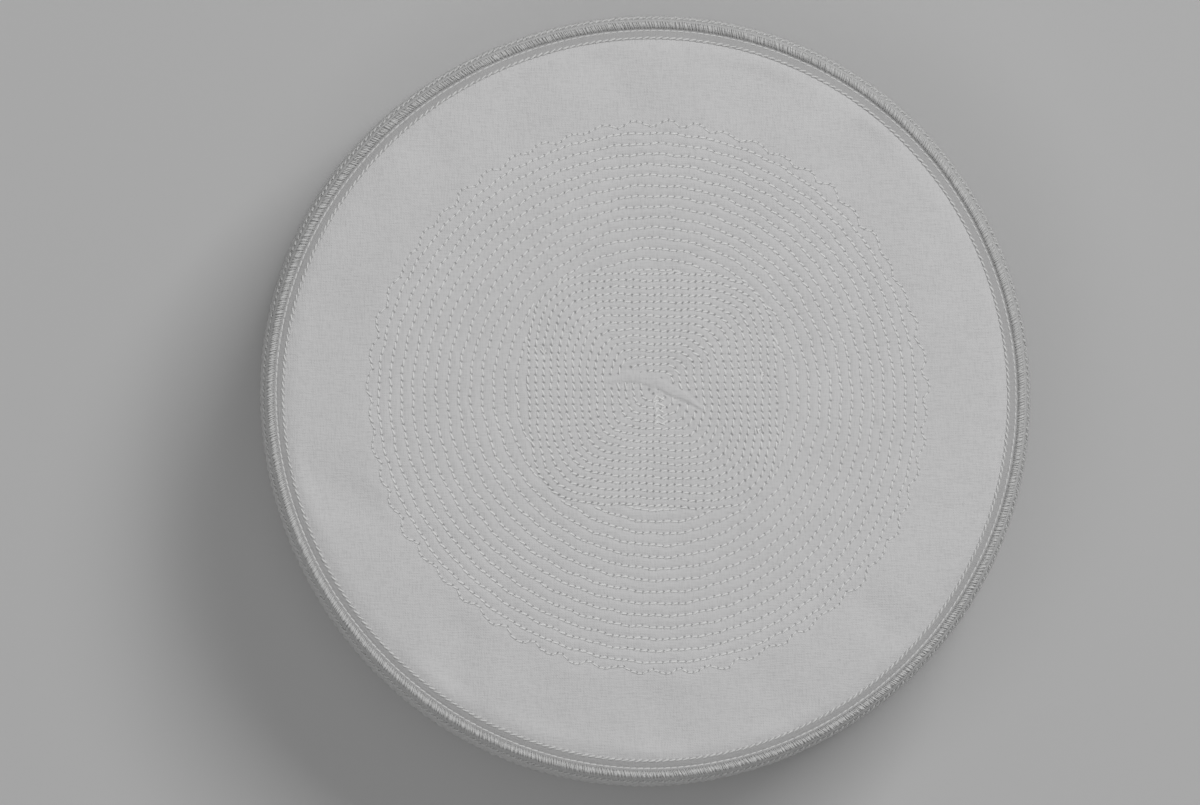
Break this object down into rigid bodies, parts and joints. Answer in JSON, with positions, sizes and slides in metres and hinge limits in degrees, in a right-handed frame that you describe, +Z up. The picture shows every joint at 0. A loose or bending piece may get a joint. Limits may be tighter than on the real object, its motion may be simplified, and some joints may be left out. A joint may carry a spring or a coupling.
{
  "type": "flat-topped skullcap",
  "caption": "Round white cotton skullcap with a flat quilted crown, a stiff stitched side band that widens to an open rim, and a taped seam with a whipped edge.",
  "frame": {"origin": "middle of the rim's outline, on the surface that the cap rests on", "axes": "+Z up, out of the flat crown; -Y towards the lower edge of the picture, +X towards its right edge"},
  "size_m": [0.1878, 0.188, 0.075],
  "materials": {
    "crown_cotton": "matt plain-weave cotton, quilted in rings with white thread",
    "tape_cotton": "matt folded cotton tape, topstitched",
    "whipped_cotton": "slanting white whip stitches over rolled cotton",
    "stitched_cotton": "stiff cotton layers covered in close rows of white stitching"
  },
  "bodies": {
    "root": {"crown_top": "crown_cotton", "edge_tape": "tape_cotton", "edge_roll": "whipped_cotton", "side_band": "stitched_cotton"}
  },
  "joints": []
}
